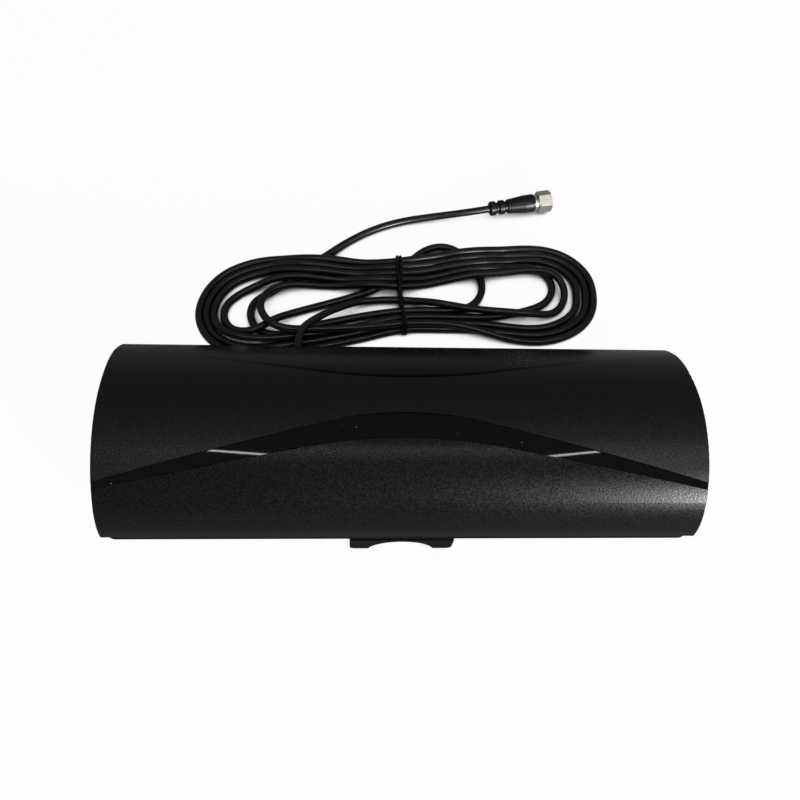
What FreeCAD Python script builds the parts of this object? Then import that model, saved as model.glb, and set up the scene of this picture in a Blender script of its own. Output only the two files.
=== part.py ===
import FreeCAD, Part
import math
import os
import re

import Sketcher
from FreeCAD import Placement, Rotation, Vector

# A moulded television antenna that lies on its back, front face up, on its mast saddle.
# X runs along the housing, +Y points to its upper edge and +Z out of its front face.
# The origin is on the surface that the saddle's feet stand on, under the middle of the housing.

# Driving sizes, in millimetres and degrees
SIZES = {
    # Front shell: a section of three tangent arcs carried along the length
    "body_length": 285.0,
    "rim_height": 25.0,
    "crest_height": 59.3,
    "crest_offset": -5.3,
    "crest_radius": 50.9,
    "low_radius": 34.4,
    "top_radius": 71.2,
    "low_blend": 43.4,
    "top_blend": 15.4,
    "shell_wall": 2.4,
    "end_round": 0.8,
    # Face: an hourglass panel above a gloss strip, both let into the shell
    "recess_depth": 1.3,
    "panel_proud": 0.3,
    "strip_drop": 0.35,
    "strip_round": 0.3,
    "face_gap": 0.25,
    "seat_gap": 0.05,
    "seam_mid": 20.2,
    "seam_end": 42.4,
    "seam_bend": 250.0,
    "divide_mid": -0.4,
    "divide_end": -33.0,
    "divide_bend": 140.0,
    "sweep_mid": -13.1,
    "sweep_end": -35.6,
    "sweep_bend": 250.0,
    "peg_diameter": 3.0,
    "peg_reach": 2.6,
    "peg_clearance": 0.15,
    "panel_peg_near_x": 50.0,
    "panel_peg_near_y": 6.0,
    "panel_peg_far_x": 118.0,
    "panel_peg_far_y": 2.0,
    "strip_peg_x": 35.0,
    "strip_peg_y": -10.2,
    # Rear cover: a shallow tray that closes the shell
    "rear_depth": 10.0,
    "rear_inset": 1.2,
    "rear_wall": 2.2,
    "rear_edge_round": 2.0,
    "rear_corner_round": 4.0,
    "tongue_root": 3.0,
    "tongue_height": 2.5,
    "tongue_wall": 1.6,
    "tongue_clearance": 0.2,
    "rib_wall": 1.6,
    "rib_height": 1.5,
    "rib_pitch": 35.0,
    # Fasteners of the case and of the saddle
    "screw_diameter": 3.0,
    "screw_fit": 0.05,
    "screw_passage": 0.2,
    "screw_head_diameter": 5.6,
    "screw_head_height": 2.2,
    "case_screw_length": 14.0,
    "case_screw_x": 64.0,
    "case_screw_low": 7.5,
    "case_screw_top": 12.5,
    "case_screw_end_x": 130.0,
    "case_screw_end_y": -2.0,
    "boss_diameter": 8.0,
    "boss_seat": 22.0,
    "rear_boss_diameter": 10.0,
    "well_clearance": 0.5,
    "well_depth": 4.0,
    "pilot_spare": 1.5,
    # Mast saddle, which starts at the lower edge of the cover
    "saddle_width": 51.0,
    "saddle_length": 92.0,
    "saddle_overhang": 0.5,
    "saddle_corner": 3.0,
    "mast_radius": 16.7,
    "mast_rise": 12.6,
    "saddle_screw_length": 12.0,
    "saddle_screw_x": 20.8,
    "saddle_screw_y": 37.0,
    "clamp_hole_x": 20.8,
    "clamp_hole_y": 20.0,
    "clamp_hole_diameter": 4.2,
    "clamp_hole_depth": 10.0,
    # Antenna elements
    "element_thickness": 0.6,
    "element_tab_start": 7.5,
    "element_tab_end": 20.0,
    "element_tab_width": 10.0,
    "element_end": 118.0,
    "element_end_width": 60.0,
    "window_start": 44.0,
    "window_end": 109.0,
    "window_start_width": 8.0,
    "window_end_width": 40.0,
    "element_post_diameter": 6.4,
    "element_post_x": 113.5,
    "element_post_y": 18.0,
    "feed_x": 11.0,
    "element_screw_diameter": 2.5,
    "element_screw_length": 4.6,
    "element_head_diameter": 4.6,
    "element_head_height": 1.7,
    # Matching transformer on its board
    "board_half_width": 15.0,
    "board_low": -13.0,
    "board_high": 19.0,
    "board_thickness": 1.6,
    "board_lift": 2.0,
    "core_width": 13.0,
    "core_height": 7.4,
    "core_low": -10.0,
    "core_length": 10.0,
    "core_round": 2.0,
    "core_bore": 3.6,
    "core_bore_x": 3.2,
    "winding_wire": 1.0,
    "winding_overhang": 0.9,
    "clamp_position": 11.5,
    "clamp_width": 5.0,
    "clamp_strap": 0.5,
    "clamp_foot": 3.0,
    # Coaxial cable and its grommet
    "cable_diameter": 4.0,
    "cable_fit": 0.1,
    "conductor_diameter": 0.8,
    "conductor_length": 3.0,
    "gland_x": -53.0,
    "gland_height": 21.0,
    "gland_neck_diameter": 6.0,
    "gland_flange_diameter": 7.4,
    "gland_flange": 1.2,
    "gland_nose_diameter": 5.4,
    "gland_nose": 0.8,
    "gland_lock": 1.2,
    # Hank of spare cable and its tie
    "hank_base": 1.0,
    "hank_height": 11.0,
    "tie_position": 3.0,
    "tie_width": 2.6,
    "tie_thickness": 0.8,
    "tie_low": 67.2,
    "tie_high": 118.3,
    "tie_gap": 0.2,
    # Screw-on plug at the free end
    "plug_x": 56.3,
    "plug_y": 152.0,
    "plug_height": 6.5,
    "plug_turn": 10.7,
    "plug_straight": 15.0,
    "boot_length": 27.5,
    "boot_diameter": 10.5,
    "boot_waist_diameter": 8.2,
    "boot_neck_diameter": 6.4,
    "boot_rib_diameter": 8.4,
    "boot_rib_pitch": 5.3,
    "boot_rib_crown": 2.6,
    "boot_rib_slope": 0.8,
    "boot_taper": 10.6,
    "boot_edge": 0.7,
    "shank_diameter": 6.0,
    "shank_depth": 7.5,
    "collar_diameter": 9.2,
    "collar_length": 1.7,
    "neck_diameter": 7.0,
    "retainer_diameter": 8.6,
    "retainer_length": 1.2,
    "nut_flats": 11.0,
    "nut_length": 8.0,
    "nut_bore": 9.5,
    "nut_lip": 1.8,
    "nut_chamfer": 0.8,
    "nut_clearance": 0.3,
    "dielectric_diameter": 4.4,
    "pin_diameter": 1.0,
    "pin_setback": 0.5,
    # Extra reach of cutting shapes past the faces that they cut
    "overrun": 2.0,
}

doc = FreeCAD.newDocument("tv_antenna")
sheet = doc.addObject("Spreadsheet::Sheet", "Sizes")
for row, (alias, size) in enumerate(SIZES.items(), start=1):
    sheet.set(f"A{row}", alias)
    sheet.set(f"B{row}", str(size))
    sheet.setAlias(f"B{row}", alias)
doc.recompute()

nodes = []
CLOSE = 0.01


def bind(text):
    """Write the sheet's name before each size in a formula."""
    return re.sub(r"[a-z][a-z_]*", lambda word: f"Sizes.{word[0]}" if word[0] in SIZES else word[0], text)


def number(text):
    """Work out a formula of sheet sizes as a plain number."""
    value = sheet.evalExpression(bind(text))
    return float(getattr(value, "Value", value))


# Formulas that several pieces share
HALF = "body_length / 2"
BACK = "(rim_height - rear_depth)"
FLOOR = "(rim_height - rear_depth + rear_wall)"
CREST_Z = "(crest_height - crest_radius)"
LOW_Y = "(crest_offset - (crest_radius - low_radius) * sin(low_blend))"
LOW_Z = f"({CREST_Z} + (crest_radius - low_radius) * cos(low_blend))"
TOP_Y = "(crest_offset + (crest_radius - top_radius) * sin(top_blend))"
TOP_Z = f"({CREST_Z} + (crest_radius - top_radius) * cos(top_blend))"
BOARD_TOP = f"({FLOOR} + board_lift + board_thickness)"
BOARD_UNDER = f"({FLOOR} + board_lift)"
CABLE_ON_BOARD = f"({BOARD_TOP} + cable_diameter / 2 + cable_fit / 2)"
CORE_Z = f"({BOARD_TOP} + core_height / 2)"
WELL_TOP = f"({BACK} + well_depth)"
MAST_Z = "(mast_rise - mast_radius)"
NUT_START = "(boot_length + collar_length + nut_clearance)"
RETAINER_START = f"({NUT_START} + nut_lip + nut_clearance)"


def low_edge(height, inset):
    """Y of the lower side of the section, a wall's inset inside it, at a height."""
    return f"({LOW_Y} - sqrt((low_radius - ({inset})) ^ 2 - ({height} - {LOW_Z}) ^ 2))"


def top_edge(height, inset):
    """Y of the upper side of the section, a wall's inset inside it, at a height."""
    return f"({TOP_Y} + sqrt((top_radius - ({inset})) ^ 2 - ({height} - {TOP_Z}) ^ 2))"


def crest_surface(y, inset):
    """Height of the crest arc above a point of its own stretch."""
    return f"({CREST_Z} + sqrt((crest_radius - ({inset})) ^ 2 - ({y} - crest_offset) ^ 2))"


REAR_LOW = f"({low_edge('rim_height', '0')} + rear_inset)"
REAR_HIGH = f"({top_edge('rim_height', '0')} - rear_inset)"
SADDLE_LOW = f"({REAR_LOW} - saddle_overhang)"
SADDLE_MID = f"({SADDLE_LOW} + saddle_length / 2)"


# Sketches and features
def new_body(label):
    body = doc.addObject("PartDesign::Body", label)
    body.Label = label
    return body


def new_sketch(body, role, lift="0"):
    """Lay a sketch on one of the body's own planes, lifted along the plane's normal."""
    sketch = body.newObject("Sketcher::SketchObject", f"{body.Name}_sketch")
    plane = next(item for item in body.Origin.OriginFeatures if item.Role == role)
    sketch.AttachmentSupport = [(plane, "")]
    sketch.MapMode = "FlatFace"
    if lift != "0":
        sketch.setExpression("AttachmentOffset.Base.z", bind(lift))
    return sketch


def pin_point(sketch, geometry, position, x, y):
    """Tie a point of the sketch to two formulas."""
    for kind, text, axis in (("DistanceX", x, -2), ("DistanceY", y, -1)):
        if text == "0":
            sketch.addConstraint(Sketcher.Constraint("PointOnObject", geometry, position, axis))
        else:
            rule = Sketcher.Constraint(kind, -1, 1, geometry, position, number(text))
            index = sketch.addConstraint(rule)
            sketch.setExpression(f"Constraints[{index}]", bind(text))


def arc_between(start, end, radius, sense):
    """Short arc from start to end; its ends are listed in the arc's own order."""
    chord = end - start
    left = Vector(-chord.y, chord.x, 0).normalize()
    rise = math.sqrt(max(radius ** 2 - (chord.Length / 2) ** 2, 0))
    side = 1 if sense == "ccw" else -1
    centre = (start + end) * 0.5 + left * (rise * side)
    first, last = (start, end) if sense == "ccw" else (end, start)
    angles = [math.atan2(point.y - centre.y, point.x - centre.x) for point in (first, last)]
    arc = Part.ArcOfCircle(Part.Circle(centre, Vector(0, 0, 1), radius), *angles)
    return arc, (1, 2) if sense == "ccw" else (2, 1)


def outline(sketch, corners, arcs=None):
    """Closed chain through the corners; arcs gives (radius, sense) for the edge after a corner."""
    arcs = arcs or {}
    base = sketch.GeometryCount
    places = [Vector(number(x), number(y), 0) for x, y in corners]
    ends = []
    for index, start in enumerate(places):
        end = places[(index + 1) % len(places)]
        if index in arcs:
            radius, sense = arcs[index]
            edge, order = arc_between(start, end, number(radius), sense)
        else:
            edge, order = Part.LineSegment(start, end), (1, 2)
        sketch.addGeometry(edge, False)
        ends.append(order)
    for index, order in enumerate(ends):
        following = (index + 1) % len(ends)
        rule = Sketcher.Constraint("Coincident", base + index, order[1], base + following, ends[following][0])
        sketch.addConstraint(rule)
    for index, corner in enumerate(corners):
        pin_point(sketch, base + index, ends[index][0], *corner)
    for index, (radius, sense) in arcs.items():
        rule = sketch.addConstraint(Sketcher.Constraint("Radius", base + index, number(radius)))
        sketch.setExpression(f"Constraints[{rule}]", bind(radius))


def rectangle(sketch, x_low, x_high, y_low, y_high):
    outline(sketch, [(x_low, y_low), (x_high, y_low), (x_high, y_high), (x_low, y_high)])


def circle(sketch, x, y, diameter):
    middle = Vector(number(x), number(y), 0)
    index = sketch.addGeometry(Part.Circle(middle, Vector(0, 0, 1), number(diameter) / 2), False)
    pin_point(sketch, index, 3, x, y)
    rule = sketch.addConstraint(Sketcher.Constraint("Diameter", index, number(diameter)))
    sketch.setExpression(f"Constraints[{rule}]", bind(diameter))


def feature(body, kind, sketch, length=None, side="One side", reverse=False):
    """Pad or pocket a sketch by a formula, or through everything without one."""
    before = 0.0 if body.Shape.isNull() else body.Shape.Volume
    step = body.newObject(f"PartDesign::{kind}", f"{body.Name}_{kind.lower()}")
    step.Profile = sketch
    step.SideType = side
    step.Reversed = reverse
    if length is None:
        step.Type = "ThroughAll"
    else:
        step.setExpression("Length", bind(length))
    doc.recompute()
    change = step.Shape.Volume - before
    if (kind == "Pad") != (change > 0):
        raise ValueError(f"{body.Label}: {kind} changes the volume by {change:.2f}")
    return step


def revolve(body, kind, corners, arcs=None):
    """Turn a profile of (axial, radial) corners about the body's X axis."""
    sketch = new_sketch(body, "XZ_Plane")
    outline(sketch, corners, arcs)
    step = body.newObject(f"PartDesign::{kind}", f"{body.Name}_{kind.lower()}")
    step.Profile = sketch
    step.ReferenceAxis = (sketch, ["H_Axis"])
    step.Angle = 360
    doc.recompute()
    return step


def soften(body, kind, base, size, wanted):
    """Fillet or chamfer the edges of a feature that a test picks."""
    names = [f"Edge{index}" for index, edge in enumerate(base.Shape.Edges, start=1) if wanted(edge)]
    step = body.newObject(f"PartDesign::{kind}", f"{body.Name}_{kind.lower()}")
    step.Base = (base, names)
    step.setExpression("Radius" if kind == "Fillet" else "Size", bind(size))
    doc.recompute()
    return step


def place(item, x, y, z):
    """Tie an object's place to three formulas."""
    for axis, text in zip("xyz", (x, y, z)):
        item.setExpression(f"Placement.Base.{axis}", bind(text))


def post(x, y, z, diameter, height):
    """Upright cylinder on a point."""
    item = doc.addObject("Part::Cylinder", "post")
    item.setExpression("Radius", bind(f"({diameter}) / 2"))
    item.setExpression("Height", bind(height))
    place(item, x, y, z)
    return item


def join(label, kind, items):
    """Part::MultiFuse, Part::MultiCommon or Part::Compound of several objects."""
    item = doc.addObject(f"Part::{kind}", label)
    item.Label = label
    if kind == "Compound":
        item.Links = items
    else:
        item.Shapes = items
    return item


def cut(label, base, tool):
    item = doc.addObject("Part::Cut", label)
    item.Label = label
    item.Base = base
    item.Tool = tool
    return item


def deliver(item, label):
    """Name an object as a finished piece."""
    item.Label = label
    nodes.append(item)
    return item


def mirrored(*places):
    """Each (x, y) and its twin across the middle of the housing."""
    return [(f"{sign}({x})", y) for x, y in places for sign in ("", "-")]


# Profiles of the housing
def section(inset, floor):
    """Section in the YZ plane from a floor height up, a wall's inset inside the outer face."""
    radius = f"(crest_radius - ({inset}))"
    corners = [
        (low_edge(floor, inset), floor),
        (f"crest_offset - {radius} * sin(low_blend)", f"{CREST_Z} + {radius} * cos(low_blend)"),
        (f"crest_offset + {radius} * sin(top_blend)", f"{CREST_Z} + {radius} * cos(top_blend)"),
        (top_edge(floor, inset), floor),
    ]
    radii = (f"low_radius - ({inset})", radius, f"top_radius - ({inset})")
    return corners, {index: (text, "cw") for index, text in enumerate(radii)}


def add_section(body, kind, inset, floor, length):
    sketch = new_sketch(body, "YZ_Plane")
    outline(sketch, *section(inset, floor))
    return feature(body, kind, sketch, length, side="Symmetric")


def wave(name, shift, dips):
    """Face line in plan, left to right: straight, arc, straight; it dips or rises in the middle."""
    reach = f"({HALF} + overrun)"
    sign, turn = ("+", "-") if dips else ("-", "+")
    middle_y = f"({name}_mid + {shift} {sign} {name}_bend)"
    end_y = f"({name}_end + {shift})"
    distance = f"sqrt({reach} ^ 2 + ({end_y} - {middle_y}) ^ 2)"
    angle = f"(atan2({end_y} - {middle_y}; {reach}) {turn} acos({name}_bend / {distance}))"
    touch_x = f"{name}_bend * cos({angle})"
    touch_y = f"{middle_y} + {name}_bend * sin({angle})"
    return [(f"-{reach}", end_y), (f"-({touch_x})", touch_y), (touch_x, touch_y), (reach, end_y)]


def trim_face(body, name, shift, dips, above):
    """Cut away what lies above or below a face line."""
    sketch = new_sketch(body, "XY_Plane")
    limit = HALF if above else f"-({HALF})"
    reach = f"({HALF} + overrun)"
    corners = wave(name, shift, dips) + [(reach, limit), (f"-{reach}", limit)]
    outline(sketch, corners, {1: (f"{name}_bend", "ccw" if dips else "cw")})
    return feature(body, "Pocket", sketch, side="Symmetric")


def outer_end_edges(inset):
    """Test for the end edges on the outer face of a piece of the housing."""
    radii = [number(f"{name}_radius - ({inset})") for name in ("low", "crest", "top")]

    def wanted(edge):
        at_end = all(abs(abs(vertex.X) - number(HALF)) < CLOSE for vertex in edge.Vertexes)
        round_edge = isinstance(edge.Curve, Part.Circle)
        return at_end and round_edge and min(abs(edge.Curve.Radius - radius) for radius in radii) < CLOSE

    return wanted


# Fasteners
def screws(label, places, seat, length, diameter, head_diameter, head_height, upward):
    """Pan-head screws with their heads on a seat and their shanks above or below it."""
    items = []
    for x, y in places:
        head_start = f"{seat} - {head_height}" if upward else seat
        shank_start = seat if upward else f"{seat} - {length}"
        head = post(x, y, head_start, head_diameter, head_height)
        shank = post(x, y, shank_start, diameter, length)
        items.append(join(f"{label}_piece", "MultiFuse", [head, shank]))
    return deliver(join(label, "Compound", items), label)


CASE_SCREWS = mirrored(("case_screw_x", f"({REAR_LOW} + case_screw_low)"),
                       ("case_screw_x", f"({REAR_HIGH} - case_screw_top)"),
                       ("case_screw_end_x", "case_screw_end_y"))
SADDLE_SCREWS = mirrored(("saddle_screw_x", f"({SADDLE_MID} + saddle_screw_y)"),
                         ("saddle_screw_x", f"({SADDLE_MID} - saddle_screw_y)"))
CLAMP_HOLES = mirrored(("clamp_hole_x", f"({SADDLE_MID} + clamp_hole_y)"),
                       ("clamp_hole_x", f"({SADDLE_MID} - clamp_hole_y)"))
ELEMENT_POSTS = mirrored(("element_post_x", "element_post_y"), ("element_post_x", "-element_post_y"))
FEED_POSTS = mirrored(("feed_x", "0"))
PANEL_PEGS = mirrored(("panel_peg_near_x", "panel_peg_near_y"), ("panel_peg_far_x", "panel_peg_far_y"))
STRIP_PEGS = mirrored(("strip_peg_x", "strip_peg_y"))
SCREW_PILOT = "screw_diameter + 2 * screw_fit"


# Front shell: hollow section with screw bosses, a recess for the face and peg holes
def make_front_shell():
    skin = new_body("front_skin")
    solid = add_section(skin, "Pad", "0", "rim_height", "body_length")
    soften(skin, "Fillet", solid, "end_round", outer_end_edges("0"))
    cavity_floor = "(rim_height - overrun)"
    add_section(skin, "Pocket", "shell_wall", cavity_floor, "body_length - 2 * shell_wall")
    room = new_body("boss_room")
    add_section(room, "Pad", "shell_wall / 2", "boss_seat", "body_length - shell_wall")
    rise = "crest_height - boss_seat"
    columns = [post(x, y, "boss_seat", "boss_diameter", rise) for x, y in CASE_SCREWS]
    bosses = join("bosses", "MultiCommon", [join("columns", "Compound", columns), room])
    recess = new_body("face_recess")
    band = new_sketch(recess, "XY_Plane", "rim_height")
    corners = wave("seam", "0", True) + wave("sweep", "0", False)[::-1]
    outline(band, corners, {1: ("seam_bend", "ccw"), 5: ("sweep_bend", "ccw")})
    feature(recess, "Pad", band, "crest_height - rim_height + overrun")
    add_section(recess, "Pocket", "recess_depth", "(rim_height - overrun)", "body_length + 4 * overrun")
    pilot = "case_screw_length - (boss_seat - (rim_height - rear_depth + well_depth)) + pilot_spare"
    holes = [post(x, y, "boss_seat - overrun", SCREW_PILOT, f"{pilot} + overrun") for x, y in CASE_SCREWS]
    for x, y in PANEL_PEGS + STRIP_PEGS:
        start = crest_surface(y, "shell_wall + overrun")
        holes.append(post(x, y, start, "peg_diameter + 2 * peg_clearance", "shell_wall + 2 * overrun"))
    moulding = join("front_moulding", "MultiFuse", [skin, bosses])
    tools = join("front_tools", "Compound", [recess] + holes)
    return deliver(cut("front_shell", moulding, tools), "front_shell")


# Face panel and gloss strip: curved sheets with pegs through the shell
def make_face_piece(label, top_inset, edge_round, trims, pegs):
    sheet_body = new_body(f"{label}_sheet")
    floor = "rim_height"
    solid = add_section(sheet_body, "Pad", top_inset, floor, "body_length")
    soften(sheet_body, "Fillet", solid, edge_round, outer_end_edges(top_inset))
    under = "(recess_depth - seat_gap)"
    add_section(sheet_body, "Pocket", under, "(rim_height - overrun)", "body_length + 2 * overrun")
    for trim in trims:
        trim_face(sheet_body, *trim)
    stems = []
    for x, y in pegs:
        foot = crest_surface(y, "shell_wall")
        head = crest_surface(y, f"({under} + {top_inset}) / 2")
        stems.append(post(x, y, f"{foot} - peg_reach", "peg_diameter", f"{head} - {foot} + peg_reach"))
    return deliver(join(label, "MultiFuse", [sheet_body] + stems), label)


# Rear cover: tray with locating tongue, posts, ribs, screw wells and the cable hole
def make_rear_cover():
    body = new_body("rear_cover")
    plan = new_sketch(body, "XY_Plane", "rim_height")
    side = f"({HALF} - rear_inset)"
    rectangle(plan, f"-{side}", side, REAR_LOW, REAR_HIGH)
    block = feature(body, "Pad", plan, "rear_depth", reverse=True)
    corners = soften(body, "Fillet", block, "rear_corner_round", lambda edge: edge.BoundBox.ZLength > CLOSE)
    back = number(BACK)
    rounded = soften(body, "Fillet", corners, "rear_edge_round",
                     lambda edge: edge.BoundBox.ZMax < back + CLOSE)
    hollow = new_sketch(body, "XY_Plane", "rim_height")
    inner = f"({side} - rear_wall)"
    rectangle(hollow, f"-{inner}", inner, f"{REAR_LOW} + rear_wall", f"{REAR_HIGH} - rear_wall")
    feature(body, "Pocket", hollow, "rear_depth - rear_wall")
    add_tongue(body)
    add_ribs(body)
    for places, diameter, top in ((CASE_SCREWS, "rear_boss_diameter", "boss_seat"),
                                  (ELEMENT_POSTS, "element_post_diameter", BOARD_TOP),
                                  (FEED_POSTS, "element_post_diameter", BOARD_UNDER)):
        rise_from(body, places, diameter, FLOOR, f"{top} - {FLOOR}")
    passage = "screw_diameter + 2 * screw_passage"
    sink_into(body, CASE_SCREWS, "screw_head_diameter + 2 * well_clearance", BACK, "well_depth", True)
    sink_into(body, CASE_SCREWS + SADDLE_SCREWS, passage, "boss_seat", "rear_depth")
    element_pilot = "element_screw_diameter + 2 * screw_fit"
    grip = "element_screw_length - element_thickness + screw_fit"
    sink_into(body, ELEMENT_POSTS, element_pilot, BOARD_TOP, grip)
    sink_into(body, FEED_POSTS, element_pilot, BOARD_UNDER, f"{grip} - board_thickness")
    mouth = new_sketch(body, "XZ_Plane", f"-({REAR_HIGH} + overrun)")
    circle(mouth, "gland_x", "gland_height", "gland_neck_diameter + cable_fit")
    feature(body, "Pocket", mouth, "rear_wall + 2 * overrun", reverse=True)
    return deliver(body, "rear_cover")


def add_tongue(body):
    """Upstanding lip along the lower side and both ends, inside the shell's wall."""
    tip = "(rim_height + tongue_height)"
    end = f"({HALF} - shell_wall - tongue_clearance)"
    low = f"({low_edge(tip, 'shell_wall')} + tongue_clearance)"
    high = f"({top_edge(tip, 'shell_wall')} - tongue_clearance - end_round)"
    inner = f"({end} - tongue_wall)"
    sketch = new_sketch(body, "XY_Plane", "rim_height - tongue_root")
    outline(sketch, [
        (f"-{end}", low), (end, low), (end, high), (inner, high),
        (inner, f"{low} + tongue_wall"), (f"-{inner}", f"{low} + tongue_wall"),
        (f"-{inner}", high), (f"-{end}", high),
    ])
    feature(body, "Pad", sketch, "tongue_root + tongue_height")


def add_ribs(body):
    """Low stiffening ribs across the floor, outside the saddle and clear of the posts."""
    sketch = new_sketch(body, "XY_Plane", FLOOR)
    for sign in ("", "-"):
        for step in (1, 2):
            x = f"({sign}(saddle_width / 2 + {step} * rib_pitch))"
            rectangle(sketch, f"{x} - rib_wall / 2", f"{x} + rib_wall / 2",
                      f"{REAR_LOW} + rear_wall / 2", f"{REAR_HIGH} - rear_wall / 2")
    feature(body, "Pad", sketch, "rib_height")


def rise_from(body, places, diameter, level, height):
    sketch = new_sketch(body, "XY_Plane", level)
    for x, y in places:
        circle(sketch, x, y, diameter)
    return feature(body, "Pad", sketch, height)


def sink_into(body, places, diameter, level, depth, upward=False):
    sketch = new_sketch(body, "XY_Plane", level)
    for x, y in places:
        circle(sketch, x, y, diameter)
    return feature(body, "Pocket", sketch, depth, reverse=upward)


# Mast saddle: two rails joined over a round channel for the mast
def make_saddle():
    body = new_body("mast_saddle")
    edge = "(saddle_width / 2)"
    chord = f"sqrt(mast_radius ^ 2 - {MAST_Z} ^ 2)"
    profile = new_sketch(body, "XZ_Plane", f"-{SADDLE_LOW}")
    outline(profile, [
        (f"-{edge}", "saddle_corner"), (f"-{edge}", BACK), (edge, BACK), (edge, "saddle_corner"),
        (f"{edge} - saddle_corner", "0"), (chord, "0"), (f"-({chord})", "0"),
        (f"-({edge} - saddle_corner)", "0"),
    ], {3: ("saddle_corner", "cw"), 5: ("mast_radius", "ccw"), 7: ("saddle_corner", "cw")})
    feature(body, "Pad", profile, "saddle_length", reverse=True)
    sink_into(body, SADDLE_SCREWS, SCREW_PILOT, BACK, "saddle_screw_length - rear_wall + pilot_spare")
    base = new_sketch(body, "XY_Plane")
    for x, y in CLAMP_HOLES:
        circle(base, x, y, "clamp_hole_diameter")
    feature(body, "Pocket", base, "clamp_hole_depth", reverse=True)
    return deliver(body, "mast_saddle")


# Antenna elements: stamped plates that widen from the feed tab
def make_element(label, sign):
    body = new_body(label)
    tab = "element_tab_width / 2"
    wide = "element_end_width / 2"
    plan = new_sketch(body, "XY_Plane", BOARD_TOP)
    outline(plan, [
        (f"{sign}element_tab_start", f"-{tab}"), (f"{sign}element_tab_end", f"-{tab}"),
        (f"{sign}element_end", f"-{wide}"), (f"{sign}element_end", wide),
        (f"{sign}element_tab_end", tab), (f"{sign}element_tab_start", tab),
    ])
    narrow = "window_start_width / 2"
    broad = "window_end_width / 2"
    outline(plan, [
        (f"{sign}window_start", f"-{narrow}"), (f"{sign}window_end", f"-{broad}"),
        (f"{sign}window_end", broad), (f"{sign}window_start", narrow),
    ])
    hole = "element_screw_diameter + 2 * screw_passage"
    sites = (("element_post_x", "element_post_y"), ("element_post_x", "-element_post_y"), ("feed_x", "0"))
    for x, y in sites:
        circle(plan, f"{sign}{x}", y, hole)
    feature(body, "Pad", plan, "element_thickness")
    return deliver(body, label)


# Matching transformer: board, two-hole core, winding and cable clamp
def make_board():
    body = new_body("balun_board")
    plan = new_sketch(body, "XY_Plane", BOARD_UNDER)
    rectangle(plan, "-board_half_width", "board_half_width", "board_low", "board_high")
    for x, y in FEED_POSTS:
        circle(plan, x, y, "element_screw_diameter + 2 * screw_passage")
    feature(body, "Pad", plan, "board_thickness")
    return deliver(body, "balun_board")


def make_core():
    body = new_body("balun_core")
    face = new_sketch(body, "XZ_Plane", "-(core_low)")
    half = "core_width / 2"
    base = BOARD_TOP
    top = f"({BOARD_TOP} + core_height)"
    outline(face, [
        (f"-({half})", base), (half, base), (half, f"{top} - core_round"), (f"{half} - core_round", top),
        (f"-({half} - core_round)", top), (f"-({half})", f"{top} - core_round"),
    ], {2: ("core_round", "ccw"), 4: ("core_round", "ccw")})
    for x in ("core_bore_x", "-core_bore_x"):
        circle(face, x, CORE_Z, "core_bore")
    feature(body, "Pad", face, "core_length", reverse=True)
    return deliver(body, "balun_core")


def make_winding():
    """One turn of wire through both holes, with two ends that stand on the board."""
    items = []
    run = "(core_length + 2 * winding_overhang)"
    for sign in ("", "-"):
        wire = doc.addObject("Part::Cylinder", "wire")
        wire.setExpression("Radius", bind("winding_wire / 2"))
        wire.setExpression("Height", bind(run))
        wire.Placement = Placement(Vector(), Rotation(Vector(1, 0, 0), -90))
        place(wire, f"{sign}core_bore_x", "core_low - winding_overhang", CORE_Z)
        items.append(wire)
        leg_y = "core_low - winding_overhang"
        items.append(post(f"{sign}core_bore_x", leg_y, BOARD_TOP, "winding_wire", f"{CORE_Z} - {BOARD_TOP}"))
    for y, turn in (("core_low - winding_overhang", 180), (f"core_low - winding_overhang + {run}", 0)):
        bend = doc.addObject("Part::Torus", "bend")
        bend.setExpression("Radius1", bind("core_bore_x"))
        bend.setExpression("Radius2", bind("winding_wire / 2"))
        bend.Angle3 = 180
        bend.Placement = Placement(Vector(), Rotation(Vector(0, 0, 1), turn))
        place(bend, "0", y, CORE_Z)
        items.append(bend)
    return deliver(join("balun_winding", "MultiFuse", items), "balun_winding")


def make_cable_clamp():
    body = new_body("cable_clamp")
    inner = "(cable_diameter / 2 + cable_fit)"
    outer = f"({inner} + clamp_strap)"
    foot = f"({outer} + clamp_foot)"
    shelf = f"({BOARD_TOP} + clamp_strap)"
    face = new_sketch(body, "XZ_Plane", "-(clamp_position - clamp_width / 2)")
    outline(face, [
        (f"-{foot}", BOARD_TOP), (f"-{inner}", BOARD_TOP), (f"-{inner}", CABLE_ON_BOARD),
        ("0", f"{CABLE_ON_BOARD} + {inner}"), (inner, CABLE_ON_BOARD), (inner, BOARD_TOP), (foot, BOARD_TOP),
        (foot, shelf), (outer, shelf), (outer, CABLE_ON_BOARD), ("0", f"{CABLE_ON_BOARD} + {outer}"),
        (f"-{outer}", CABLE_ON_BOARD), (f"-{outer}", shelf), (f"-{foot}", shelf),
    ], {2: (inner, "cw"), 3: (inner, "cw"), 9: (outer, "ccw"), 10: (outer, "ccw")})
    feature(body, "Pad", face, "clamp_width", reverse=True)
    return deliver(body, "cable_clamp")


# Cable: straight runs joined by tangent arcs as large as the runs allow
ARC_SHARE = 0.45
# Route of the inner end, as steps from the wall at the grommet to the last bend before the board
TAIL_STEPS = (
    (0, -8, 0), (3.8, -15.3, 0), (11.3, -20.2, 0.2), (26.5, -19.4, 0.8), (41.7, -18.3, 1.6),
    (49.2, -23.2, 1.8),
)
# Route of the free cable, as steps from the same wall and then places over and on the hank
LEAD_STEPS = ((0, 7.5, 0), (0.7, 14.8, -2.2))
LEAD_PLACES = ((-49.8, 71, 14.8), (-46, 76.6, 11))
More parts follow.
